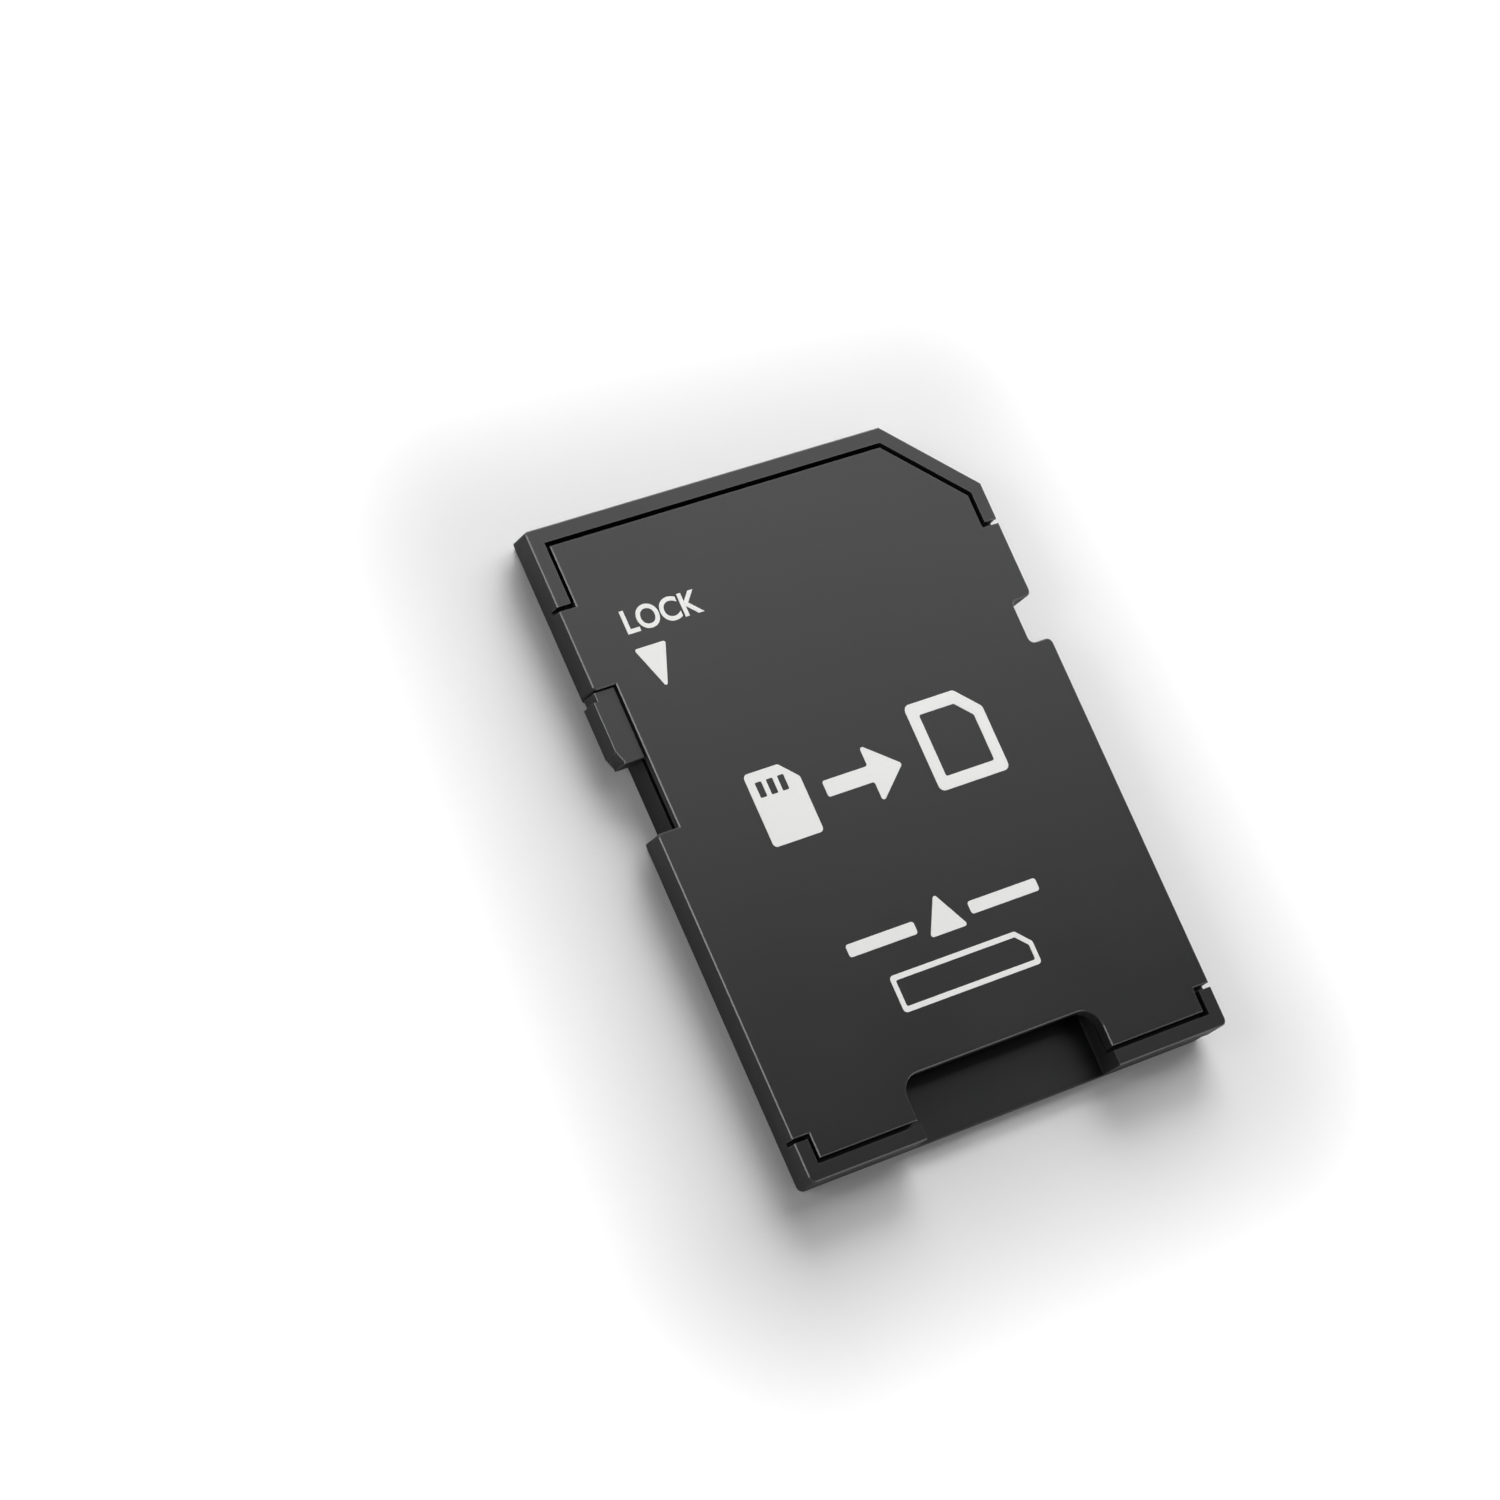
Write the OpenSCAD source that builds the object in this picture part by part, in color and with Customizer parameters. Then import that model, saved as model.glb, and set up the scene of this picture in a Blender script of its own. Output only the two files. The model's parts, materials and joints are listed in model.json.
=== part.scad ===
// Memory card adapter that carries a small card in a full-size card outline.
// It lies on its back plate with the label face up. The origin is on the back
// plate at the middle of the outline, +Y points to the contact edge and +X is
// the side with the cut corner.

/* [Card outline] */
// Width across the two guide rails
card_w = 24; // [24:0.1:25]
// Length from the rear edge to the contact edge
card_l = 32; // [32:0.1:34]
// Thickness from the back plate to the label face
card_t = 2.1; // [2.1:0.01:2.3]
// Size of the cut corner
corner_cut = 4; // [3.8:0.05:4.2]
// Radius of the two rear corners
rear_r = 0.3; // [0.2:0.05:0.5]
// Radius of the square corner at the contact edge
front_r = 0.14; // [0.12:0.01:0.25]
// Break along the outer edges
edge_c = 0.05; // [0.04:0.01:0.1]

/* [Rails and back plate] */
// Thickness of the guide rails
rail_t = 1.4; // [1.35:0.01:1.5]
// Width of the ledge between the back plate and the side of a rail
ledge_w = 0.4; // [0.3:0.05:0.6]
// Width of the fine shoulder on the side of the back plate
shoulder_w = 0.05; // [0.03:0.01:0.08]
// Height of the fine shoulder above the back face
shoulder_z = 0.36; // [0.3:0.01:0.5]

/* [Cover and seams] */
// Thickness of the top cover
cover_t = 0.65; // [0.62:0.01:0.7]
// Width of the full-height rim of the base shell
rim_w = 0.72; // [0.65:0.01:0.8]
// Width of the open seam between the rim and the cover
seam_w = 0.22; // [0.15:0.01:0.28]
// Length of the rim down the square side, from the contact edge
rim_square_side = 3.75; // [3:0.05:4.5]
// Length of the rim down the cut-corner side, from the contact edge
rim_cut_side = 5.85; // [5.4:0.05:6.6]
// Length of the rear corner rims up each side
rim_rear_side = 1.91; // [1.5:0.01:2.5]

/* [Write-protect lock] */
// Distance from the contact edge to the lock notch
lock_from = 7.9; // [7.85:0.01:8]
// Length of the lock notch
lock_len = 7.1; // [6.9:0.05:7.3]
// Depth of the lock notch
lock_deep = 1.2; // [1.1:0.05:1.3]
// Radius of the outer corners of the lock notch
lock_r = 0.15; // [0.12:0.01:0.25]
// Length of the lock slider
slider_len = 3.5; // [3.2:0.05:3.8]
// Running clearance round the slider
slider_fit = 0.06; // [0.05:0.01:0.08]
// Drop of the slider's top below the label face
slider_drop = 0.2; // [0.15:0.01:0.25]
// Set-back of the slider's body from the side of the rail
slider_inset = 0.06; // [0.04:0.01:0.1]
// Reach of the finger knob beyond the slider's body
knob_out = 0.21; // [0.15:0.01:0.24]
// Length of the flat part of the finger knob
knob_len = 2.5; // [2.3:0.05:2.7]
// Distance from the front end of the slider to the knob
knob_from = 0.42; // [0.3:0.02:0.5]
// Length of one grip step behind the knob
grip_len = 0.13; // [0.1:0.01:0.15]
// Number of grip steps behind the knob
grip_steps = 3; // [2:1:3]
// Depth of the slider's guide groove inside the notch wall
guide_deep = 0.95; // [0.85:0.01:1]
// Height of the guide groove in the underside of the cover
guide_h = 0.27; // [0.25:0.01:0.3]
// Width of the groove that hooks the slider's bead
hook_w = 0.42; // [0.38:0.01:0.46]
// Depth of that groove below the seam
hook_deep = 0.24; // [0.2:0.01:0.28]

/* [Retention notch] */
// Distance from the contact edge to the notch
notch_from = 9.86; // [9.8:0.01:9.95]
// Length of the notch
notch_len = 2.2; // [2.1:0.05:2.4]
// Depth of the notch
notch_deep = 1.2; // [1.1:0.05:1.3]
// Radius of the notch corners
notch_r = 0.3; // [0.2:0.02:0.34]

/* [Card slot] */
// Width of the slot for the small card
slot_w = 11.14; // [11.1:0.01:11.3]
// Depth of the slot from the rear edge to the card stop
slot_l = 14.9; // [14.8:0.05:15]
// Thickness of the floor under the small card
floor_t = 0.6; // [0.56:0.01:0.64]
// Narrowing of the slot that keys the small card
key_w = 1.3; // [1.2:0.02:1.4]
// Length of the keyed part behind the card stop
key_l = 6.3; // [6:0.05:6.5]
// Depth of the finger opening in the cover
finger_deep = 2.98; // [2.6:0.02:3.2]
// Corner radius of the finger opening
finger_r = 1; // [0.6:0.05:1.2]
// Set-back of the finger opening in the cover from the side of the slot
finger_out = 0.05; // [0.03:0.01:0.08]
// Width of the foot along each side of the slot's floor
foot_w = 0.05; // [0.03:0.01:0.06]
// Height of that foot
foot_h = 0.08; // [0.05:0.01:0.1]

/* [Contact windows] */
// Width of a rib
rib_w = 0.48; // [0.42:0.01:0.54]
// Distance from the cut-corner side to the nearest rib
rib_side = 2.98; // [2.94:0.01:3.05]
// Width of the double window
double_w = 2.85; // [2.7:0.05:3]
// Width of the end wall beside the double window
end_wall = 0.66; // [0.55:0.01:0.8]
// Distance from the contact edge to the rear of the windows
window_back = 5.85; // [5.7:0.05:6]
// Distance from the contact edge to the rear of the offset window
offset_back = 7.9; // [7.8:0.05:8]
// Flare at the mouth of each window
mouth_flare = 0.1; // [0.06:0.01:0.12]

/* [Contacts] */
// Thickness of the contact strip
metal_t = 0.15; // [0.12:0.01:0.16]
// Depth of a contact face behind the window floor
pad_sink = 0.04; // [0.02:0.01:0.06]
// Distance from the contact edge to an ordinary contact face
pad_front = 1.17; // [1.1:0.01:1.3]
// Distance from the contact edge to a contact face that meets the socket first
long_front = 0.75; // [0.75:0.01:0.9]
// Distance from the contact edge to the offset contact face
offset_front = 3.5; // [3.5:0.05:3.7]
// Overlap of a contact face on the ribs beside it
pad_lap = 0.1; // [0.06:0.01:0.12]
// Length of a contact face behind its window
pad_tail = 0.3; // [0.2:0.05:0.4]
// Width of the slit in the forked contact
slit_w = 0.33; // [0.28:0.01:0.38]
// Depth of the slit's root behind its window
slit_root = 0.1; // [0.05:0.01:0.2]
// Width of the outer tongue of the forked contact
tongue_w = 1.11; // [1:0.01:1.2]
// Width of the strip between a contact face and its spring arm
run_w = 0.4; // [0.34:0.01:0.44]
// Clearance of a contact in its channel
run_fit = 0.03; // [0.02:0.01:0.04]
// Pitch of the spring arms, as the small card's contacts
arm_pitch = 1.1; // [1.08:0.01:1.12]
// Place of the first spring arm from the middle of the card
arm_x = 3.2; // [3.1:0.05:3.25]
// Height of the spring arms under the card stop
arm_low = 0.38; // [0.36:0.01:0.42]
// Height of the crown of a spring arm, at the middle of the strip
arm_crown = 0.83; // [0.78:0.01:0.9]
// Distance from the card stop to the crown
arm_reach = 2.3; // [2.1:0.05:2.5]
// Length of a spring arm beyond its crown
arm_tip = 0.7; // [0.6:0.05:0.8]

/* [Contact carrier and card spring] */
// Clearance round the contact carrier
carrier_fit = 0.05; // [0.03:0.01:0.07]
// Margin of the carrier beside the outer spring arms
carrier_side = 0.6; // [0.55:0.01:0.65]
// Plastic left between the notches and the carrier's pocket
pocket_web = 0.6; // [0.5:0.01:0.65]
// Width of the carrier's card stop lip
lip_w = 1.6; // [1.4:0.05:1.8]
// Thickness of the card spring
spring_t = 0.12; // [0.1:0.01:0.14]
// Height of the card spring
spring_h = 0.62; // [0.5:0.01:0.66]
// Length of the spring's foot in its slit
spring_foot = 0.8; // [0.6:0.05:1]
// Length of the spring's bow
spring_l = 3.6; // [3.2:0.1:3.8]
// Distance of the spring's foot from the side of the slot
spring_off = 1.05; // [0.9:0.05:1.2]
// Reach of the spring's nose into the slot
nose_out = 0.3; // [0.2:0.02:0.4]

/* [Hidden] */

// Reach of a cutting solid past the face that it opens
past = 1;
// Overlap of two shapes that make up one piece
join = 0.1;
// Number of straight pieces in a small and in a large quarter round
small_arc = 4;
large_arc = 8;
// Twice the area below which three points count as lying in line
flat_turn = 0.000001;

// Levels of the layers
ledge_z = card_t - rail_t;
seam_z = card_t - cover_t;
pad_z = ledge_z + pad_sink;
carrier_z = pad_z + metal_t;

// Half sizes of the outline and of the rims
half_w = card_w / 2;
half_l = card_l / 2;
plate_half = half_w - ledge_w;
rim_in = half_w - rim_w;
rim_front = half_l - rim_w;
cut_sum = half_w + half_l - corner_cut;

// Lock notch and slider
lock_hi = half_l - lock_from;
lock_lo = lock_hi - lock_len;
lock_wall = -half_w + lock_deep;
slider_hi = lock_hi - slider_fit;
slider_lo = slider_hi - slider_len;
slider_top = card_t - slider_drop;
slider_bottom = ledge_z + slider_fit;
slider_side = -half_w + slider_inset;
knob_hi = slider_hi - knob_from;
knob_lo = knob_hi - knob_len;
guide_in = lock_wall + guide_deep;

// Retention notch
notch_hi = half_l - notch_from;
notch_lo = notch_hi - notch_len;
notch_wall = half_w - notch_deep;

// Slot for the small card
slot_half = slot_w / 2;
stop_y = -half_l + slot_l;
key_y = stop_y - key_l;
key_x = slot_half - key_w;
finger_y = -half_l + finger_deep;

// Ribs, spread evenly from the one beside the offset window to the double window
rib_x = half_w - rib_side;
pitch_count = 7;
rib_pitch = (rib_x + plate_half - end_wall - double_w - rib_w / 2) / pitch_count;

// Spring arms: where they bend down from the contact layer, as shares of the room between
// the card stop and the contact faces, and the pocket under them
arm_count = 8;
arm_last = arm_x - (arm_count - 1) * arm_pitch;
arm_toe = 0.2;
arm_room = half_l - window_back - 2 * pad_tail - stop_y;
arm_bend_low = stop_y + 0.207 * arm_room;
arm_bend_top = stop_y + 0.272 * arm_room;
run_end = stop_y + 0.31 * arm_room;
run_turn = stop_y + 0.432 * arm_room;
crown_y = stop_y - arm_reach;
crown_half = 0.3;
crown_dip = 0.05;
tip_drop = 0.26;
arm_side = 0.45;
arm_floor = 0.2;
arm_pocket_back = crown_y - arm_tip - arm_side;
arm_pocket_front = run_end + join;

// Card spring: the pocket beside the slot and the slit that holds its foot
spring_x = slot_half + spring_off;
spring_room = 0.3;
spring_fit = 0.02;
spring_steps = 12;
spring_end = key_y - key_w / 2 - spring_room;
spring_back = spring_end - spring_l - spring_foot;

plastic = "#2d2d2f";
slider_plastic = "#333335";
carrier_plastic = "#1f1f21";
gold = "#e2bf5a";
steel = "#b9bcc0";

function unit(v) = v / norm(v);

// Points of a round from angle a0 to angle a1, in n straight pieces
function arc(x, y, r, a0, a1, n = small_arc) =
    [for (i = [0:n]) let (a = a0 + (a1 - a0) * i / n) [x + r * cos(a), y + r * sin(a)]];

// Outline moved inwards by d, each corner along its mitre
function inset(p, d) =
    let (n = len(p))
    [for (i = [0:n - 1])
        let (a = unit(p[i] - p[(i + n - 1) % n]), b = unit(p[(i + 1) % n] - p[i]),
             na = [-a[1], a[0]], nb = [-b[1], b[0]])
        p[i] + d * (na + nb) / (1 + na * nb)];

// Strip of width w along an open path, with mitred bends
function side_of(path, d) =
    let (n = len(path))
    [for (i = [0:n - 1])
        let (a = unit(path[max(i, 1)] - path[max(i, 1) - 1]),
             b = unit(path[min(i, n - 2) + 1] - path[min(i, n - 2)]),
             na = [-a[1], a[0]], nb = [-b[1], b[0]])
        path[i] + d * (na + nb) / (1 + na * nb)];
function reversed(p) = [for (i = [len(p) - 1:-1:0]) p[i]];
function strip(path, w) = concat(side_of(path, w / 2), reversed(side_of(path, -w / 2)));

// Rounded retention notch, walked from the rear to the front on the +X side
function notch_points(hw) = concat(
    arc(hw - notch_r, notch_lo - notch_r, notch_r, 0, 90),
    arc(notch_wall + notch_r, notch_lo + notch_r, notch_r, 270, 180),
    arc(notch_wall + notch_r, notch_hi - notch_r, notch_r, 180, 90),
    arc(hw - notch_r, notch_hi + notch_r, notch_r, 270, 360));

// Lock notch, walked from the front to the rear on the -X side
function lock_points(hw) = concat(
    arc(-hw + lock_r, lock_hi + lock_r, lock_r, 180, 270),
    [[lock_wall, lock_hi], [lock_wall, lock_lo]],
    arc(-hw + lock_r, lock_lo - lock_r, lock_r, 90, 180));

// Outline of the card at half width hw, anticlockwise from the rear
function card_outline(hw) = concat(
    arc(-hw + rear_r, -half_l + rear_r, rear_r, 180, 270),
    arc(hw - rear_r, -half_l + rear_r, rear_r, 270, 360),
    notch_points(hw),
    [[hw, cut_sum - hw], [cut_sum - half_l, half_l]],
    arc(-hw + front_r, half_l - front_r, front_r, 90, 180),
    lock_points(hw));

// Edges of the space inside the rims, where g is a gap left to the rims. The cover has
// that gap, and its seat in the base shell has none and runs out past the sides.
function wing_right(g) = half_l - rim_cut_side - g;
function wing_left(g) = half_l - rim_square_side - g;
function wing_rear(g) = -half_l + rim_rear_side + g;
function diagonal(g) = cut_sum - (rim_w + g) * sqrt(2);
function cover_outline() =
    let (x = rim_in - seam_w, y = rim_front - seam_w, s = diagonal(seam_w), o = slot_half + finger_out)
    concat(
        [[-x, -y], [-o, -y]],
        arc(-o + finger_r, finger_y - finger_r, finger_r, 180, 90, large_arc),
        arc(o - finger_r, finger_y - finger_r, finger_r, 90, 0, large_arc),
        [[o, -y], [x, -y], [x, wing_rear(seam_w)], [half_w, wing_rear(seam_w)]],
        notch_points(half_w),
        [[half_w, wing_right(seam_w)], [x, wing_right(seam_w)], [x, s - x], [s - y, y],
         [-x, y], [-x, wing_left(seam_w)], [-half_w, wing_left(seam_w)]],
        lock_points(half_w),
        [[-half_w, wing_rear(seam_w)], [-x, wing_rear(seam_w)]]);
function cover_seat() =
    let (x = rim_in, y = rim_front, s = diagonal(0), far_x = half_w + past, far_y = -half_l - past)
    [[-x, -y], [-slot_half, -y], [-slot_half, far_y], [slot_half, far_y], [slot_half, -y],
     [x, -y], [x, wing_rear(0)], [far_x, wing_rear(0)], [far_x, wing_right(0)],
     [x, wing_right(0)], [x, s - x], [s - y, y], [-x, y], [-x, wing_left(0)],
     [-far_x, wing_left(0)], [-far_x, wing_rear(0)], [-x, wing_rear(0)]];

// Slot for the small card, seen from above: its key narrows it, and g is taken off each side
function slot_plan(g) =
    [[-slot_half + g, -half_l - past], [slot_half - g, -half_l - past], [slot_half - g, key_y - key_w / 2],
     [key_x, key_y + key_w / 2], [key_x, stop_y], [-slot_half + g, stop_y]];

// Contact windows: 0 is the offset one beside the cut corner, 8 the double one
function rib_at(i) = rib_x - i * rib_pitch;
function window_right(i) = rib_at(i - 1) - rib_w / 2;
function window_left(i) = i == 8 ? -plate_half + end_wall : rib_at(i) + rib_w / 2;
function window_mid(i) = (window_left(i) + window_right(i)) / 2;
function window_rear(i) = half_l - (i == 0 ? offset_back : window_back);
function contact_front(i) =
    half_l - (i == 0 ? offset_front : i == 3 || i == 4 ? long_front : pad_front);

// Spring arm of each window. Window 3 is the second ground and has none.
function arm_of(i) = arm_x - arm_pitch * (i < 3 ? i : i - 1);

// Outline of the contact carrier, narrow beside the spring arms and wide at the windows
function carrier_outline() =
    let (f = carrier_fit, left = arm_last - carrier_side, right = arm_x + carrier_side,
         wide = rim_in - f, top = rim_front - f, s = diagonal(f), fan = run_end + run_w / 2,
         notch_shelf = notch_hi + pocket_web + f, lock_shelf = lock_hi + pocket_web + f)
    [[left, stop_y], [right, stop_y], [right, fan], [notch_wall - pocket_web, notch_shelf],
     [wide, notch_shelf], [wide, s - wide], [s - top, top], [-wide, top],
     [-wide, lock_shelf], [guide_in + pocket_web + f, lock_shelf], [left, fan]];

// Middle line of the card spring, seen from above: a straight foot and one wave of a cosine
function spring_path() = concat(
    [[spring_x, spring_back]],
    [for (k = [0:spring_steps])
        [spring_x - (spring_off + nose_out) * (1 - cos(360 * k / spring_steps)) / 2,
         spring_back + spring_foot + spring_l * k / spring_steps]]);

// Triangles that fill an anticlockwise outline, made by clipping one ear after another.
// ring holds the numbers of the points that are still to be filled in.
function turn_of(a, b, c) = (b[0] - a[0]) * (c[1] - a[1]) - (b[1] - a[1]) * (c[0] - a[0]);
function covers(a, b, c, q) = turn_of(a, b, q) >= 0 && turn_of(b, c, q) >= 0 && turn_of(c, a, q) >= 0;
function ear(ring, i) = let (n = len(ring)) [ring[(i + n - 1) % n], ring[i], ring[(i + 1) % n]];
function is_ear(p, ring, e) =
    turn_of(p[e[0]], p[e[1]], p[e[2]]) > flat_turn
    && len([for (k = ring) if (len(search(k, e)) == 0 && covers(p[e[0]], p[e[1]], p[e[2]], p[k])) k]) == 0;
function first_ear(p, ring, i = 0) = is_ear(p, ring, ear(ring, i)) ? i : first_ear(p, ring, i + 1);
function filled(p, ring, done = []) =
    len(ring) == 3 ? concat(done, [ring])
    : let (i = first_ear(p, ring))
      filled(p, [for (k = [0:len(ring) - 1]) if (k != i) ring[k]], concat(done, [ear(ring, i)]));

// Flat slab between two heights with its edges broken by c0 below and c1 above
module edged_slab(p, z0, z1, c0, c1) {
    n = len(p);
    rings = concat(c0 > 0 ? [[c0, z0]] : [], [[0, z0 + c0], [0, z1 - c1]], c1 > 0 ? [[c1, z1]] : []);
    last = len(rings) - 1;
    points = [for (r = rings, q = inset(p, r[0])) [q[0], q[1], r[1]]];
    cap = filled(p, [for (i = [0:n - 1]) i]);
    bottom = cap;
    top = [for (t = cap) [t[2] + last * n, t[1] + last * n, t[0] + last * n]];
    sides = [for (k = [0:last - 1], i = [0:n - 1])
        [k * n + i, (k + 1) * n + i, (k + 1) * n + (i + 1) % n, k * n + (i + 1) % n]];
    polyhedron(points, concat(bottom, top, sides));
}

module prism(p, z0, z1) {
    translate([0, 0, z0]) linear_extrude(z1 - z0) polygon(p);
}

module block(x0, x1, y0, y1, z0, z1) {
    translate([x0, y0, z0]) cube([x1 - x0, y1 - y0, z1 - z0]);
}

// Profile in the Y-Z plane carried across from x0 to x1
module across(p, x0, x1) {
    translate([x0, 0, 0]) rotate([90, 0, 90]) linear_extrude(x1 - x0) polygon(p);
}

// Opening of one window, flared where it leaves through the contact edge
module window(i) {
    l = window_left(i);
    r = window_right(i);
    f = mouth_flare;
    top = half_l + past;
    if (i == 0) {
        block(l, r, window_rear(i), top, -past, card_t);
    } else {
        prism([[l, window_rear(i)], [r, window_rear(i)], [r, half_l - f], [r + f, half_l], [r + f, top],
               [l - f, top], [l - f, half_l], [l, half_l - f]], -past, card_t);
    }
}

// Flat part of a contact between two heights, with its outline grown by g
module contact_flat(i, g, z0, z1) {
    back = window_rear(i) - pad_tail;
    neck = back - pad_tail;
    x = window_mid(i);
    run = i == 3 ? [[x, back + join], [x, neck - pad_tail]]
        : [[x, back + join], [x, neck], [arm_of(i), run_turn], [arm_of(i), run_end - g]];
    block(window_left(i) - pad_lap - g, window_right(i) + pad_lap + g, back - g, contact_front(i) + g, z0, z1);
    prism(strip(run, run_w + 2 * g), z0, z1);
}

// Spring arm seen from the side, from the contact layer to its curled tip
module spring_arm(i) {
    z = pad_z + metal_t / 2;
    path = [[run_end + join, z], [arm_bend_top, z], [arm_bend_low, arm_low], [stop_y - arm_toe, arm_low],
            [crown_y + crown_half, arm_crown - crown_dip], [crown_y, arm_crown],
            [crown_y - crown_half, arm_crown - crown_dip], [crown_y - arm_tip, arm_crown - tip_drop]];
    across(strip(path, metal_t), arm_of(i) - run_w / 2, arm_of(i) + run_w / 2);
}

// Break along the lower edge of the rail on the +X side
module rail_break() {
    translate([half_w - edge_c, half_l + past, ledge_z]) rotate([90, 0, 0])
        linear_extrude(card_l + 2 * past) polygon([[0, 0], [past, 0], [past, past]]);
}

module base_shell() {
    color(plastic) difference() {
        union() {
            difference() {
                edged_slab(card_outline(plate_half), 0, ledge_z + join, edge_c, 0);
                for (i = [0:8]) window(i);
            }
            difference() {
                edged_slab(card_outline(half_w), ledge_z, card_t, 0, edge_c);
                rail_break();
                mirror([1, 0, 0]) rail_break();
            }
            block(0, plate_half + shoulder_w, -half_l + 2 * rear_r, notch_lo - 2 * notch_r,
                  shoulder_z, ledge_z + join);
            block(-plate_half - shoulder_w, 0, -half_l + 2 * rear_r, lock_lo - 2 * lock_r,
                  shoulder_z, ledge_z + join);
        }
        prism(cover_seat(), seam_z, card_t + past);
        prism(slot_plan(0), floor_t + foot_h, seam_z + past);
        prism(slot_plan(foot_w), floor_t, seam_z + past);
        block(arm_last - arm_side, arm_x + arm_side, arm_pocket_back, arm_pocket_front, arm_floor, card_t);
        prism(inset(carrier_outline(), -carrier_fit), carrier_z, seam_z + past);
        for (i = [0:8]) {
            block(window_left(i), window_right(i), window_rear(i), contact_front(i), -past, pad_z + metal_t / 2);
            contact_flat(i, run_fit, pad_z, carrier_z + edge_c);
        }
        // groove that hooks the bead of the slider
        block(guide_in - hook_w, guide_in, lock_lo, lock_hi, seam_z - hook_deep, seam_z + past);
        // room and foot slit of the card spring
        block(slot_half - past, spring_x + spring_room, spring_back + spring_foot, spring_end + spring_room,
              floor_t, seam_z + past);
        block(spring_x - spring_t / 2 - spring_fit, spring_x + spring_t / 2 + spring_fit,
              spring_back - spring_fit, spring_back + spring_foot + past, floor_t, seam_z + past);
    }
}

module top_cover() {
    color(plastic) difference() {
        edged_slab(cover_outline(), seam_z, card_t, 0, edge_c);
        block(lock_wall - past, guide_in, lock_lo, lock_hi, seam_z - past, seam_z + guide_h);
    }
}

// Finger knob of the slider, seen from above, with its stepped grip
function knob_points() = concat(
    [[slider_side, knob_hi], [slider_side - knob_out, knob_hi], [slider_side - knob_out, knob_lo]],
    [for (k = [1:grip_steps], e = [0, 1])
        [slider_side - knob_out * (grip_steps + 1 - k) / (grip_steps + 1), knob_lo - grip_len * (k - 1 + e)]],
    [[slider_side, knob_lo - grip_len * grip_steps]]);
function slider_outline() = concat(
    [[slider_side, slider_lo], [lock_wall - slider_fit, slider_lo], [lock_wall - slider_fit, slider_hi],
     [slider_side, slider_hi]],
    knob_points());

module lock_slider() {
    wall = lock_wall - slider_fit;
    tongue_in = guide_in - slider_fit;
    color(slider_plastic) union() {
        edged_slab(slider_outline(), slider_bottom, slider_top, edge_c / 2, edge_c / 2);
        across([[slider_lo, seam_z + slider_fit], [slider_hi, seam_z + slider_fit],
                [slider_hi, seam_z + guide_h - slider_fit], [slider_lo, seam_z + guide_h - slider_fit]],
               wall - slider_fit, tongue_in);
        block(tongue_in - hook_w + 2 * slider_fit, tongue_in, slider_lo, slider_hi,
              seam_z - hook_deep + slider_fit, seam_z + guide_h - slider_fit);
    }
}

module contact_carrier() {
    color(carrier_plastic) union() {
        prism(carrier_outline(), carrier_z, seam_z);
        block(arm_last - arm_side + carrier_fit, arm_x + arm_side - carrier_fit,
              stop_y, stop_y + lip_w, floor_t + carrier_fit, carrier_z + edge_c);
    }
}

module card_spring() {
    color(steel) prism(strip(spring_path(), spring_t), floor_t + carrier_fit, floor_t + carrier_fit + spring_h);
}

// Contacts in the order of the card's numbers: 9 is the offset one
module contact(number) {
    i = number % 9;
    color(gold) union() {
        difference() {
            contact_flat(i, 0, pad_z, carrier_z);
            if (i == 8) {
                slit = window_left(i) + tongue_w;
                block(slit, slit + slit_w, window_rear(i) - slit_root, half_l, pad_z - past, card_t);
            }
        }
        if (i != 3) spring_arm(i);
    }
}

base_shell();
top_cover();
lock_slider();
contact_carrier();
card_spring();
for (k = [1:9]) contact(k);
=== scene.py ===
# %% [markdown]
# Memory card adapter, dressed for its photograph.
#
# The construction comes packed from the CAD model: two welded shell halves, a write-protect slider, nine
# contacts, the plate that clamps them and a card spring. It is already in the right place and at the right
# size, so this script only adds what the eye wants: the finishes, the white pad print on the label face, a
# floor, soft light and the camera. Everything is in metres, so a length in millimetres is multiplied by MM.

# %% Load the frame
import json
import math

import bpy
import numpy as np
from mathutils import Matrix, Vector


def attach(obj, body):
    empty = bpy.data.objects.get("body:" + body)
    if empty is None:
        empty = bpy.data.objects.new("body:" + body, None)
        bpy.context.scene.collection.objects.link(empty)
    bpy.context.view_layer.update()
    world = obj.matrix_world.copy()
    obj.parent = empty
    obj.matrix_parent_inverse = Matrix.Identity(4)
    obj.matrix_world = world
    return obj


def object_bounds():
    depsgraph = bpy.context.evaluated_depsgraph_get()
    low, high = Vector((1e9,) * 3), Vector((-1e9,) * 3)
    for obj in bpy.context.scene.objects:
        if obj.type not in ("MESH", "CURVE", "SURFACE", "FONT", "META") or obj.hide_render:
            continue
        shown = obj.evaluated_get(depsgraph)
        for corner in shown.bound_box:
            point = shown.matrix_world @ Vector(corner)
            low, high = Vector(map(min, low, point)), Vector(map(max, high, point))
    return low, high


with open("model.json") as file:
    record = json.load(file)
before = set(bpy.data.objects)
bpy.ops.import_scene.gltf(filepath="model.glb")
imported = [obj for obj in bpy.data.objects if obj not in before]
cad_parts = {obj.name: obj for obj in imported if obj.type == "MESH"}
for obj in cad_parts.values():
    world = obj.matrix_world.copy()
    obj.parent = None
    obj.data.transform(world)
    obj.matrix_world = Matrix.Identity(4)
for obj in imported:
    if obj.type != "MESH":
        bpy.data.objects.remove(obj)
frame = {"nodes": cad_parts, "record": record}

MM = 0.001
scene = bpy.context.scene
cad_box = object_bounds()
print("CAD box in mm:", [[round(v / MM, 2) for v in corner] for corner in cad_box])

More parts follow.
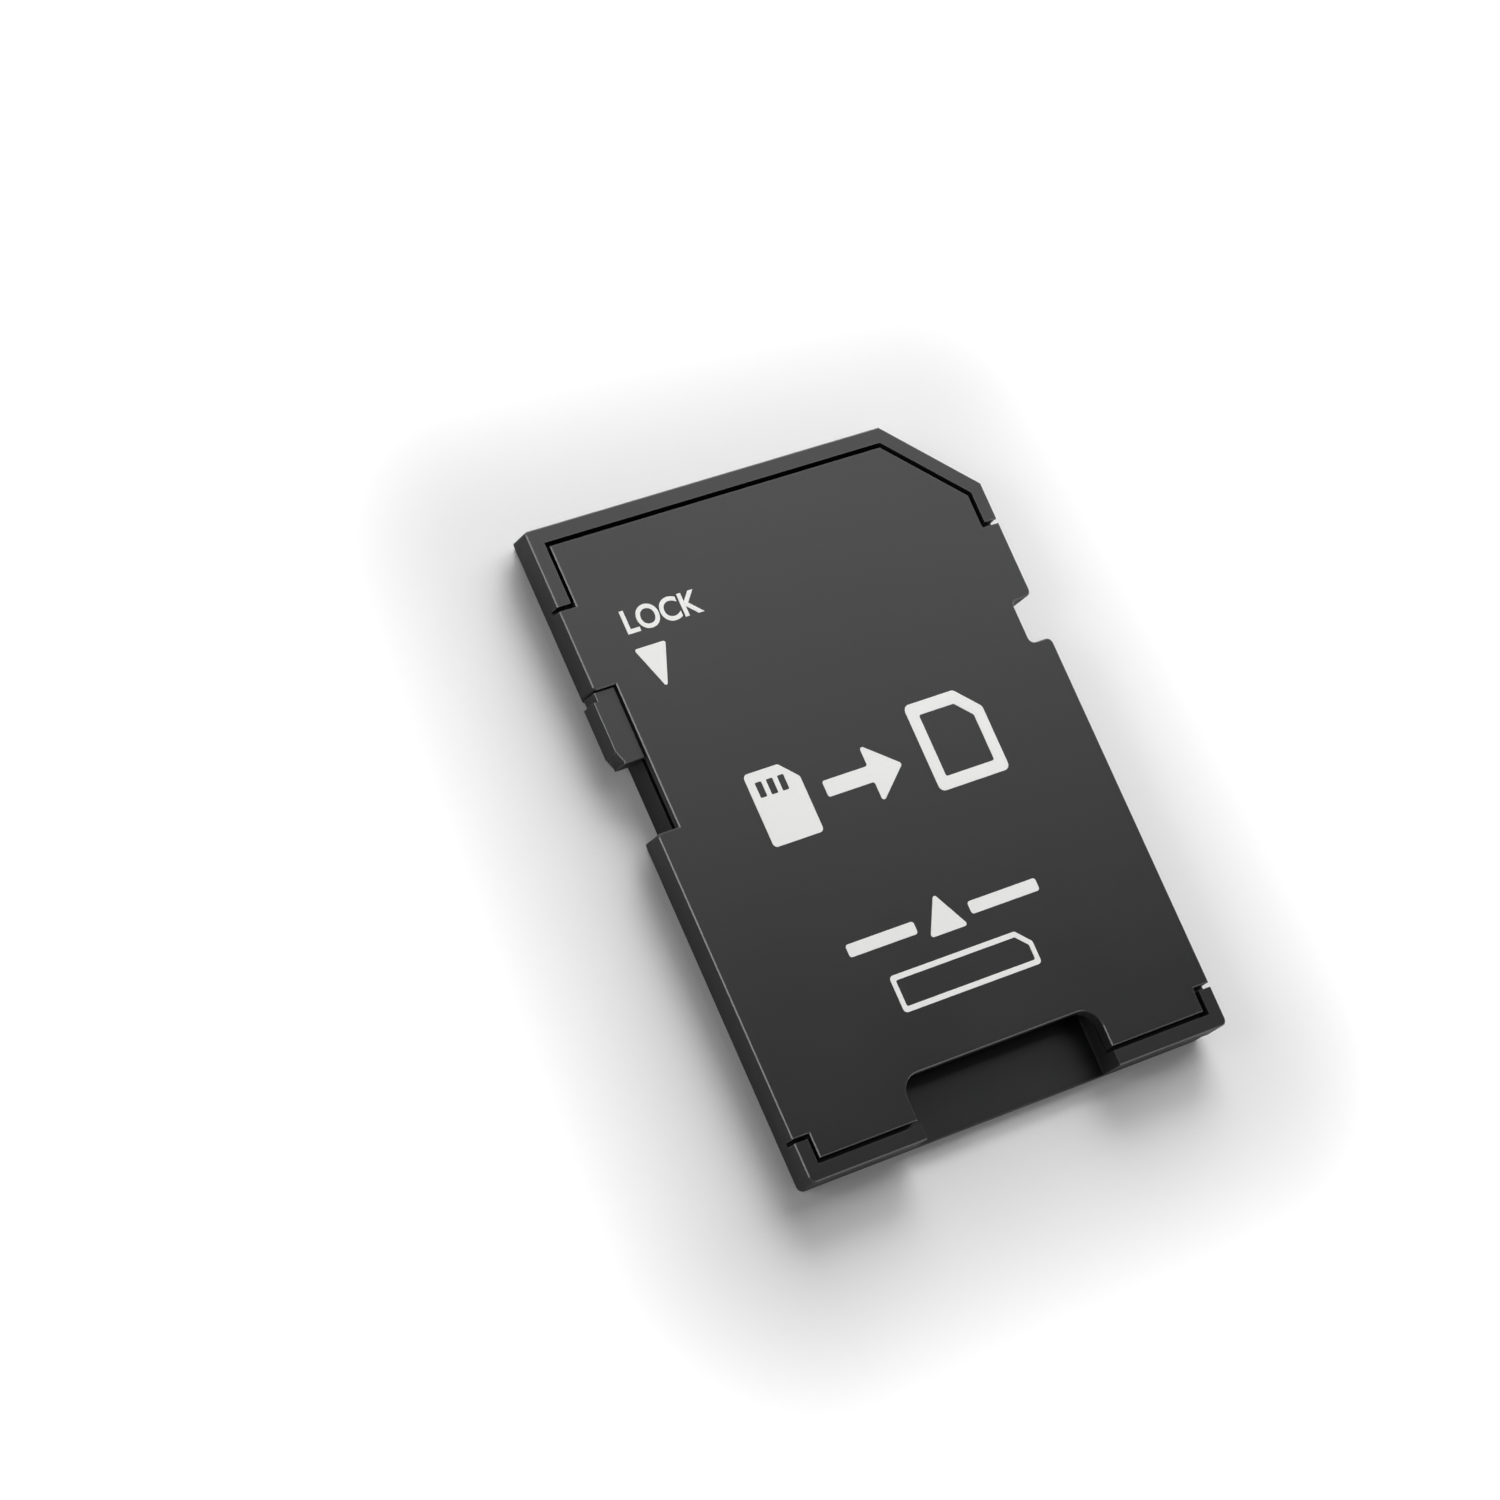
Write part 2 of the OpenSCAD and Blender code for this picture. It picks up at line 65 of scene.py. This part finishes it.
# %% [markdown]
# The camera stands where the photographer's did. The photograph was fitted with a pinhole camera on the
# card's 24 x 32 mm outline, which gives the point it aims at, the way it looks, its distance, its roll and
# its lens. The adapter lies flat here, so the camera looks down on it and rolls until the card leans in the
# frame as it does in the picture.

# %% Camera
AIM = Vector((-5.770, 3.312, 2.1)) * MM     # the middle of the picture, on the label face
AZIMUTH = -73.071                           # degrees round the card, 0 looks along +Y
ELEVATION = 56.704                          # degrees above the card's plane
DISTANCE = 247.93 * MM
ROLL = 51.711                               # degrees, turns the top of the picture to the left
LENS = 131.8                                # on a 36 mm sensor, as mm


def direction(azimuth, elevation):
    """Unit vector from the card towards a place at that azimuth and elevation, in degrees."""
    a, e = math.radians(azimuth), math.radians(elevation)
    return Vector((math.sin(a) * math.cos(e), -math.cos(a) * math.cos(e), math.sin(e)))


back = direction(AZIMUTH, ELEVATION)
camera = bpy.data.objects.new("camera", bpy.data.cameras.new("camera"))
camera.data.lens = LENS
camera.data.sensor_width = 36
camera.data.clip_start = 10 * MM
camera.data.clip_end = 20
scene.collection.objects.link(camera)
level = back.to_track_quat("Z", "Y").to_matrix().to_4x4()
camera.matrix_world = Matrix.Translation(AIM + back * DISTANCE) @ level @ Matrix.Rotation(
    math.radians(ROLL), 4, "Z")
scene.camera = camera
print("camera at mm:", [round(v / MM, 1) for v in camera.matrix_world.translation])

# %% [markdown]
# Materials are small graphs of nodes. Two helpers keep them short: one turns an sRGB hex code, which is what
# a colour picker shows, into the linear values that the renderer works with, and one adds any kind of node
# with its settings and its links in a single line.

# %% Colour and node helpers


def srgb(code):
    """Linear RGBA of a hex code: c / 12.92 for the darkest, else ((c + 0.055) / 1.055) to the power 2.4."""
    parts = [int(code[i:i + 2], 16) / 255 for i in (1, 3, 5)]
    return [*(c / 12.92 if c <= 0.04045 else ((c + 0.055) / 1.055) ** 2.4 for c in parts), 1.0]


def add(tree, kind, inputs=None, **settings):
    """A new shader node. inputs maps a socket's name or number to a value, or to the output that feeds it."""
    made = tree.nodes.new("ShaderNode" + kind)
    for name, value in settings.items():
        setattr(made, name, value)
    for key, value in (inputs or {}).items():
        if isinstance(value, bpy.types.NodeSocket):
            tree.links.new(value, made.inputs[key])
        else:
            made.inputs[key].default_value = value
    return made


def per(size):
    """The scale of a pattern whose grains are that many mm wide."""
    return 1 / (size * MM)


def start(name, **sockets):
    """A material with an empty graph, a Principled shader with those constant sockets, and Object coordinates."""
    made = bpy.data.materials.new(name)
    made.use_nodes = True
    tree = made.node_tree
    tree.nodes.clear()
    shader = add(tree, "BsdfPrincipled", {key.replace("_", " "): value for key, value in sockets.items()})
    add(tree, "OutputMaterial", {"Surface": shader.outputs[0]})
    where = add(tree, "TexCoord").outputs["Object"]
    return made, tree, shader, where


print("black of the shell, linear:", [round(v, 4) for v in srgb("#29292a")])

# %% [markdown]
# The shell is black ABS. Its mould was spark-eroded, which leaves a fine, even satin: light scatters into a
# broad soft glow and there is no mirror image. A real grain is about 0.03 mm, too fine for the picture, so
# it is drawn at 0.1 mm and kept faint. A second, broad pattern makes the gloss a little uneven, as the melt
# does where it cooled at different speeds. Along every edge a thin line is painted paler than the faces, as a
# painted highlight, and made glossier. Two tests find the edges. A Bevel node gives a turned normal within its
# radius of an edge, and the more that differs from the face's own, the stronger the painted highlight. The
# narrow chamfers are the only faces that slope, so a slanting normal marks them. Where the two halves meet
# flush, no highlight is painted.

# %% Moulded plastic
EDGE_R = 0.06                               # how far the painted edge highlight reaches from an edge, mm
EDGE_HIGHLIGHT_PAINT = "#4e4e50"                            # painted highlight colour of the edge lines, paler than the plastic
EDGE_LINE_ROUGHNESS = 0.22                           # roughness of the edge lines
JOINT_Z = 1.45                              # height at which the halves meet, mm
DRAG = 0.30                                 # roughness that the walls gain as they slide out of the mould


def moulded_plastic(name, dark, pale, roughness, grain, depth):
    """Satin plastic: colour and gloss drift over 7 mm patches, and grains of that many mm stand depth mm high.
    The painted edge highlight is 1 where the normal's height lies within 0.3 of 0.6, or where it and the Bevel
    node's disagree."""
    made, tree, shader, where = start(name, IOR=1.54)
    patches = add(tree, "TexNoise", {"Vector": where, "Scale": per(7), "Detail": 2.0, "Roughness": 0.5})
    tone = add(tree, "Mix", {0: patches.outputs["Fac"], 6: srgb(dark), 7: srgb(pale)}, data_type="RGBA")
    gloss = add(tree, "MapRange", {"Value": patches.outputs["Fac"], "From Min": 0.3, "From Max": 0.7,
                                   "To Min": roughness - 0.02, "To Max": roughness + 0.02})
    sparks = add(tree, "TexNoise", {"Vector": where, "Scale": per(grain), "Detail": 3.0, "Roughness": 0.6})
    bump = add(tree, "Bump", {"Height": sparks.outputs["Fac"], "Strength": 0.35, "Distance": depth * MM})
    turned = add(tree, "Bevel", {"Radius": EDGE_R * MM}, samples=8).outputs[0]
    facing = add(tree, "NewGeometry").outputs["Normal"]
    product = add(tree, "VectorMath", {0: turned, 1: facing}, operation="DOT_PRODUCT").outputs["Value"]
    agree = add(tree, "Math", {0: product}, operation="ABSOLUTE").outputs[0]
    near = add(tree, "MapRange", {"Value": agree, "From Min": 0.985, "From Max": 0.90}).outputs["Result"]
    rise = add(tree, "Math", {0: add(tree, "SeparateXYZ", {0: facing}).outputs["Z"]}, operation="ABSOLUTE")
    slope = add(tree, "Math", {0: rise.outputs[0], 1: 0.6, 2: 0.3}, operation="COMPARE")
    # Edges and chamfers, where a paler painted highlight goes.
    edge_or_chamfer = add(tree, "Math", {0: near, 1: slope.outputs[0]}, operation="MAXIMUM")
    level = add(tree, "SeparateXYZ", {0: where}).outputs["Z"]
    flush = add(tree, "Math", {0: level, 1: JOINT_Z * MM, 2: EDGE_R * MM}, operation="COMPARE")
    edge_highlight_mask = add(tree, "Math", {0: edge_or_chamfer.outputs[0], 1: flush.outputs[0]}, operation="SUBTRACT",
               use_clamp=True).outputs[0]
    # Edge lines are painted paler: a painted highlight, not the plastic's own colour.
    colour = add(tree, "Mix", {0: edge_highlight_mask, 6: tone.outputs[2], 7: srgb(EDGE_HIGHLIGHT_PAINT)}, data_type="RGBA")
    upright = add(tree, "Math", {0: rise.outputs[0], 1: 0.0, 2: 0.3}, operation="COMPARE")
    matt = add(tree, "Math", {0: upright.outputs[0], 1: DRAG, 2: gloss.outputs["Result"]}, operation="MULTIPLY_ADD")
    sheen = add(tree, "Mix", {0: edge_highlight_mask, 2: matt.outputs[0], 3: EDGE_LINE_ROUGHNESS})
    tree.links.new(colour.outputs[2], shader.inputs["Base Color"])
    tree.links.new(sheen.outputs[0], shader.inputs["Roughness"])
    tree.links.new(bump.outputs["Normal"], shader.inputs["Normal"])
    return made


abs_satin = moulded_plastic("black_abs_spark_eroded", "#131314", "#161617", 0.36, 0.10, 0.004)
abs_slider = moulded_plastic("black_abs_slider", "#151516", "#181819", 0.33, 0.08, 0.003)
lcp_matte = moulded_plastic("glass_filled_lcp", "#161617", "#1f1f20", 0.55, 0.05, 0.005)
print("plastics:", abs_satin.name, abs_slider.name, lcp_matte.name)

# %% [markdown]
# The contacts are phosphor bronze strip with a flash of gold, less than a thousandth of a millimetre. Gold
# that thin is paler than jewellery, and it follows the strip's rolling lines, which run along each contact.
# The card spring is bare spring steel with the same kind of lines. One function serves both: a noise that is
# stretched along the rolling direction feeds the bump and the roughness.

# %% Rolled metal


def rolled_metal(name, dark, pale, roughness, line, reach):
    """Bright strip: lines that many mm apart and reach times as long, along Y, vary the colour and the gloss."""
    made, tree, shader, where = start(name, Metallic=1.0)
    along = add(tree, "Mapping", {"Vector": where, "Scale": (1.0, 1 / reach, 1.0)})
    lines = add(tree, "TexNoise", {"Vector": along.outputs[0], "Scale": per(line), "Detail": 3.0})
    tone = add(tree, "Mix", {0: lines.outputs["Fac"], 6: srgb(dark), 7: srgb(pale)}, data_type="RGBA")
    gloss = add(tree, "MapRange", {"Value": lines.outputs["Fac"], "From Min": 0.3, "From Max": 0.7,
                                   "To Min": roughness - 0.05, "To Max": roughness + 0.05})
    bump = add(tree, "Bump", {"Height": lines.outputs["Fac"], "Strength": 0.2, "Distance": 0.003 * MM})
    tree.links.new(tone.outputs[2], shader.inputs["Base Color"])
    tree.links.new(gloss.outputs["Result"], shader.inputs["Roughness"])
    tree.links.new(bump.outputs["Normal"], shader.inputs["Normal"])
    return made


flash_gold = rolled_metal("flash_gold_on_bronze", "#f2d878", "#fbe78c", 0.26, 0.06, 30)
spring_steel = rolled_metal("rolled_spring_steel", "#a9a9a6", "#c2c2bf", 0.30, 0.05, 30)
print("metals:", flash_gold.name, spring_steel.name)

# %% [markdown]
# Each CAD piece keeps its mesh and gets the finish of its record's slot, so that a repaint of the slot and
# this scene agree on which pieces change together.

# %% Dress the CAD pieces
FINISH = {
    "shell_plastic": abs_satin,
    "slider_plastic": abs_slider,
    "carrier_plastic": lcp_matte,
    "gold_contact": flash_gold,
    "spring_steel": spring_steel,
}
for row in frame["record"]["subparts"]:
    data = frame["nodes"][row["node"]].data
    data.materials.clear()
    data.materials.append(FINISH[row["material_slot"]])

# %% [markdown]
# The label side carries white pad print: an ink film of about 0.015 mm with softly rounded corners. It could
# be an image, but a shape stays sharp from any distance, so each mark is a thin raised plate. Its outline is
# worked out as arrays of points, the outlines become one filled flat curve, and the curve becomes a mesh
# that is moved to the face. A marking of the lock's two ends is generic, and so are the other marks: a small
# card that goes into a large one, and the line and arrow that show where the small card enters.

# %% Ink material
made_ink = start("white_pad_print_ink", IOR=1.48, Roughness=0.55)
pad_ink, ink_tree, ink_shader, ink_where = made_ink
ink_film = add(ink_tree, "TexNoise", {"Vector": ink_where, "Scale": per(0.3), "Detail": 2.0})
ink_tone = add(ink_tree, "Mix", {0: ink_film.outputs["Fac"], 6: srgb("#fafaf8"), 7: srgb("#fefefc")},
               data_type="RGBA")
ink_bump = add(ink_tree, "Bump", {"Height": ink_film.outputs["Fac"], "Strength": 0.2, "Distance": 0.003 * MM})
ink_tree.links.new(ink_tone.outputs[2], ink_shader.inputs["Base Color"])
ink_tree.links.new(ink_bump.outputs["Normal"], ink_shader.inputs["Normal"])
print("ink:", pad_ink.name)

# %% Ink outlines
INK = 0.012                                 # thickness of the film, mm
FACE = cad_box[1].z / MM                    # height of the label face, mm


def rounded(corners, radius, steps=5):
    """Outline with an arc in each corner. The arc starts and ends radius / tan(half angle) from the corner,
    its centre lies on the bisector at radius / sin(half angle), and its points turn evenly between."""
    p = np.asarray(corners, float)
    before, after = np.roll(p, 1, 0) - p, np.roll(p, -1, 0) - p
    before /= np.linalg.norm(before, axis=1, keepdims=True)
    after /= np.linalg.norm(after, axis=1, keepdims=True)
    half = np.arccos(np.clip((before * after).sum(1), -1, 1)) / 2
    reach = np.minimum(radius / np.tan(half), 1e9)
    first, last = p + before * reach[:, None], p + after * reach[:, None]
    middle = before + after
    middle /= np.linalg.norm(middle, axis=1, keepdims=True)
    centre = p + middle * (radius / np.sin(half))[:, None]
    t = np.linspace(0, 1, steps)[None, :, None]
    arm = (first[:, None] - centre[:, None]) * (1 - t) + (last[:, None] - centre[:, None]) * t
    arm *= radius / np.linalg.norm(arm, axis=2, keepdims=True)
    return (centre[:, None] + arm).reshape(-1, 2)


def rectangle(x0, x1, y0, y1):
    """Four corners of an upright rectangle, anticlockwise."""
    return [(x0, y0), (x1, y0), (x1, y1), (x0, y1)]


def print_mark(name, outlines):
    """One printed mark: the outlines, where one lies in another it is a hole, filled and raised by the film."""
    flat = bpy.data.curves.new(name, "CURVE")
    flat.dimensions = "2D"
    flat.fill_mode = "BOTH"
    flat.extrude = INK / 2
    for points in outlines:
        spline = flat.splines.new("POLY")
        spline.points.add(len(points) - 1)
        flat_points = np.zeros((len(points), 4))
        flat_points[:, :2] = points
        flat_points[:, 3] = 1
        spline.points.foreach_set("co", flat_points.ravel())
        spline.use_cyclic_u = True
    return ink_mesh(name, flat, (0, 0))


def ink_mesh(name, flat, place):
    """Turns a flat curve or text in mm into a mesh in metres on the label face, at that x and y."""
    holder = bpy.data.objects.new(name + "_flat", flat)
    scene.collection.objects.link(holder)
    bpy.context.view_layer.update()
    mesh = bpy.data.meshes.new_from_object(holder.evaluated_get(bpy.context.evaluated_depsgraph_get()))
    bpy.data.objects.remove(holder)
    co = np.empty(len(mesh.vertices) * 3)
    mesh.vertices.foreach_get("co", co)
    co = (co.reshape(-1, 3) + (place[0], place[1], FACE + INK / 2)) * MM
    mesh.vertices.foreach_set("co", co.ravel())
    mesh.materials.clear()
    mesh.materials.append(pad_ink)
    mesh.name = name
    piece = bpy.data.objects.new(name, mesh)
    scene.collection.objects.link(piece)
    mesh.update()
    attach(piece, "adapter")
    return piece


print("a rounded square has", len(rounded(rectangle(0, 1, 0, 1), 0.1)), "points")

# %% Lock marking
WORD_H = 1.10                               # height of the capitals, mm
WORD_LEFT, WORD_FOOT = -9.26, 10.11         # where the word starts and stands, mm
word = bpy.data.curves.new("word", "FONT")
word.body = "LOCK"
word.size = WORD_H / 0.70
word.extrude = INK / 2
word.offset = 0.035                         # makes the strokes that much wider on each side
lock_word = ink_mesh("print_lock_word", word, (WORD_LEFT, WORD_FOOT))
lock_arrow = print_mark("print_lock_arrow", [rounded([(-9.25, 9.33), (-8.41, 7.20), (-7.51, 9.33)], 0.09)])
print("lock marking:", lock_word.name, lock_arrow.name)

# %% Card into adapter


def card_outline(x0, x1, y0, y1, cut, shrink=0.0):
    """Outline of a card with its upper right corner cut, moved inwards by shrink on every side."""
    a, b, c, d = x0 + shrink, x1 - shrink, y0 + shrink, y1 - shrink
    k = cut - shrink * (2 - math.sqrt(2))
    return [(a, c), (b, c), (b, d - k), (b - k, d), (a, d)]


small = [rounded(card_outline(-6.70, -3.90, -1.30, 2.30, 0.85), 0.22)]
arrow = [rounded([(-2.95, 0.10), (-0.35, 0.10), (-0.35, -0.95), (1.45, 0.50), (-0.35, 1.95), (-0.35, 0.90),
                  (-2.95, 0.90)], 0.12)]
LINE = 0.62                                 # stroke of the large card, mm
large = [rounded(card_outline(2.75, 6.80, -1.35, 3.00, 1.15), 0.30),
         rounded(card_outline(2.75, 6.80, -1.35, 3.00, 1.15, LINE), 0.10)]
slots = [rounded(rectangle(-6.28 + 0.62 * i, -5.92 + 0.62 * i, 1.05, 1.80), 0.06) for i in range(3)]
print_mark("print_small_card", small + slots)
print_mark("print_arrow", arrow)
print_mark("print_large_card", large)
print("card into adapter: three marks")

# %% Entry marking
BAR_Y, BAR_H = -7.15, 0.62                  # the bold line, mm
bars = [rounded(rectangle(-5.40, -1.55, BAR_Y, BAR_Y + BAR_H), 0.14),
        rounded(rectangle(1.55, 5.50, BAR_Y, BAR_Y + BAR_H), 0.14)]
head = [rounded([(-1.05, -7.55), (1.15, -7.55), (0.05, -5.65)], 0.12)]
print_mark("print_entry_bars", bars)
print_mark("print_entry_arrow", head)
THIN = 0.26                                 # stroke of the card's tip, mm
tip = [rounded(card_outline(-3.95, 3.95, -10.35, -8.55, 0.70), 0.20),
       rounded(card_outline(-3.95, 3.95, -10.35, -8.55, 0.70, THIN), 0.10)]
print_mark("print_entry_card", tip)
print("entry marking: three marks")

# %% [markdown]
# The floor is matt white card. It is lit like any floor, so the adapter's shadow falls on it, and it glows a
# little for the camera, for gloss and for glass, so that it stays white to the edge of the picture without
# more light on the adapter.

# %% Floor
FLOOR_R = 3.0                               # metres, past the horizon of every view
FLOOR_DROP = 0.01                           # mm under the back face, so that the two never share a plane
GLOW = 0.05                                 # the floor's own glow beside the adapter, and 1 far from it
GROWS = 24                                  # mm from the adapter's outline over which it grows
rings, spokes = np.array([0.0, 0.2, 1.0, FLOOR_R]), np.linspace(0, 2 * math.pi, 49)[:-1]
r, a = np.meshgrid(rings, spokes, indexing="ij")
floor_co = np.stack([r * np.cos(a), r * np.sin(a), np.full_like(r, -FLOOR_DROP * MM)], -1).reshape(-1, 3)
i, j = np.meshgrid(np.arange(len(rings) - 1), np.arange(48), indexing="ij")
k = (j + 1) % 48
quads = np.stack([i * 48 + j, (i + 1) * 48 + j, (i + 1) * 48 + k, i * 48 + k], -1).reshape(-1, 4)
floor_mesh = bpy.data.meshes.new("floor")
floor_mesh.from_pydata(floor_co.tolist(), [], quads.tolist())
floor = bpy.data.objects.new("floor", floor_mesh)
scene.collection.objects.link(floor)

card_white, tree, shader, where = start("matt_white_card", Roughness=0.9, Base_Color=srgb("#f2f2f2"))
path = add(tree, "LightPath")
either = add(tree, "Math", {0: path.outputs["Is Camera Ray"], 1: path.outputs["Is Glossy Ray"]}, operation="ADD")
shown = add(tree, "Math", {0: either.outputs[0], 1: path.outputs["Is Transmission Ray"]}, operation="ADD")
folded = add(tree, "VectorMath", {0: where}, operation="ABSOLUTE")
past = add(tree, "VectorMath", {0: folded.outputs[0], 1: (cad_box[1].x, cad_box[1].y, 1)}, operation="SUBTRACT")
outside = add(tree, "VectorMath", {0: past.outputs[0], 1: (0, 0, 0)}, operation="MAXIMUM")
away = add(tree, "VectorMath", {0: outside.outputs[0]}, operation="LENGTH")
level = add(tree, "MapRange", {"Value": away.outputs["Value"], "From Min": 0.0, "From Max": GROWS * MM,
                               "To Min": GLOW, "To Max": 1.0}, interpolation_type="SMOOTHSTEP")
glow = add(tree, "Math", {0: shown.outputs[0], 1: level.outputs[0]}, operation="MULTIPLY", use_clamp=True)
shader.inputs["Emission Color"].default_value = (1, 1, 1, 1)
tree.links.new(glow.outputs[0], shader.inputs["Emission Strength"])
floor_mesh.materials.append(card_white)
print("floor:", len(floor_mesh.polygons), "faces")

# %% [markdown]
# The light is a studio's. One large softbox hangs over the contact edge, where the label face mirrors it to
# the camera, and its lower edge falls across the mirror line: that is what shades the face from pale at the
# contact edge to dark at the slot. Two narrow boxes stand low, one in front and one at the lock's side, for
# the thin bright lines on the edges. The room is a white horizon under a dim ceiling.

# %% Lights


def softbox(name, centre, aim, size, radiance):
    """An even rectangle of light, wide along the horizon. A flat emitter of that radiance gives pi times its
    area in watts."""
    lamp = bpy.data.lights.new(name, "AREA")
    lamp.shape = "RECTANGLE"
    lamp.size, lamp.size_y = size[0] * MM, size[1] * MM
    lamp.energy = math.pi * lamp.size * lamp.size_y * radiance
    holder = bpy.data.objects.new(name, lamp)
    scene.collection.objects.link(holder)
    holder.location = Vector(centre) * MM
    holder.rotation_euler = (holder.location - Vector(aim) * MM).to_track_quat("Z", "Y").to_euler()
    return holder


softbox("key", (220, 152, 152), (220, 152, 0), (400, 250), 1.90)
softbox("rear", (100, 290, 150), (0, 0, 0), (250, 200), 5.8)
softbox("front_strip", (170, -280, 60), (0, 0, 0), (260, 70), 1.0)
softbox("side_strip", (-260, 50, 160), (0, 0, 0), (100, 64), 6.2)

# %% World
CEILING, HORIZON = 0.12, 1.0                # radiance overhead and at the horizon
FADE_FROM, FADE_TO = 0.05, 0.30             # height of the view direction where the one turns to the other
world = bpy.data.worlds.new("studio")
scene.world = world
world.use_nodes = True
sky = world.node_tree
sky.nodes.clear()
height = add(sky, "SeparateXYZ", {0: add(sky, "TexCoord").outputs["Generated"]})
fade = add(sky, "MapRange", {"Value": height.outputs["Z"], "From Min": FADE_FROM, "From Max": FADE_TO,
                             "To Min": HORIZON, "To Max": CEILING}, interpolation_type="SMOOTHSTEP")
glow_sky = add(sky, "Background", {"Strength": fade.outputs["Result"]})
glow_sky.inputs["Color"].default_value = (1, 1, 1, 1)
add(sky, "OutputWorld", {"Surface": glow_sky.outputs[0]})

# %% View settings
scene.view_settings.view_transform = "Standard"
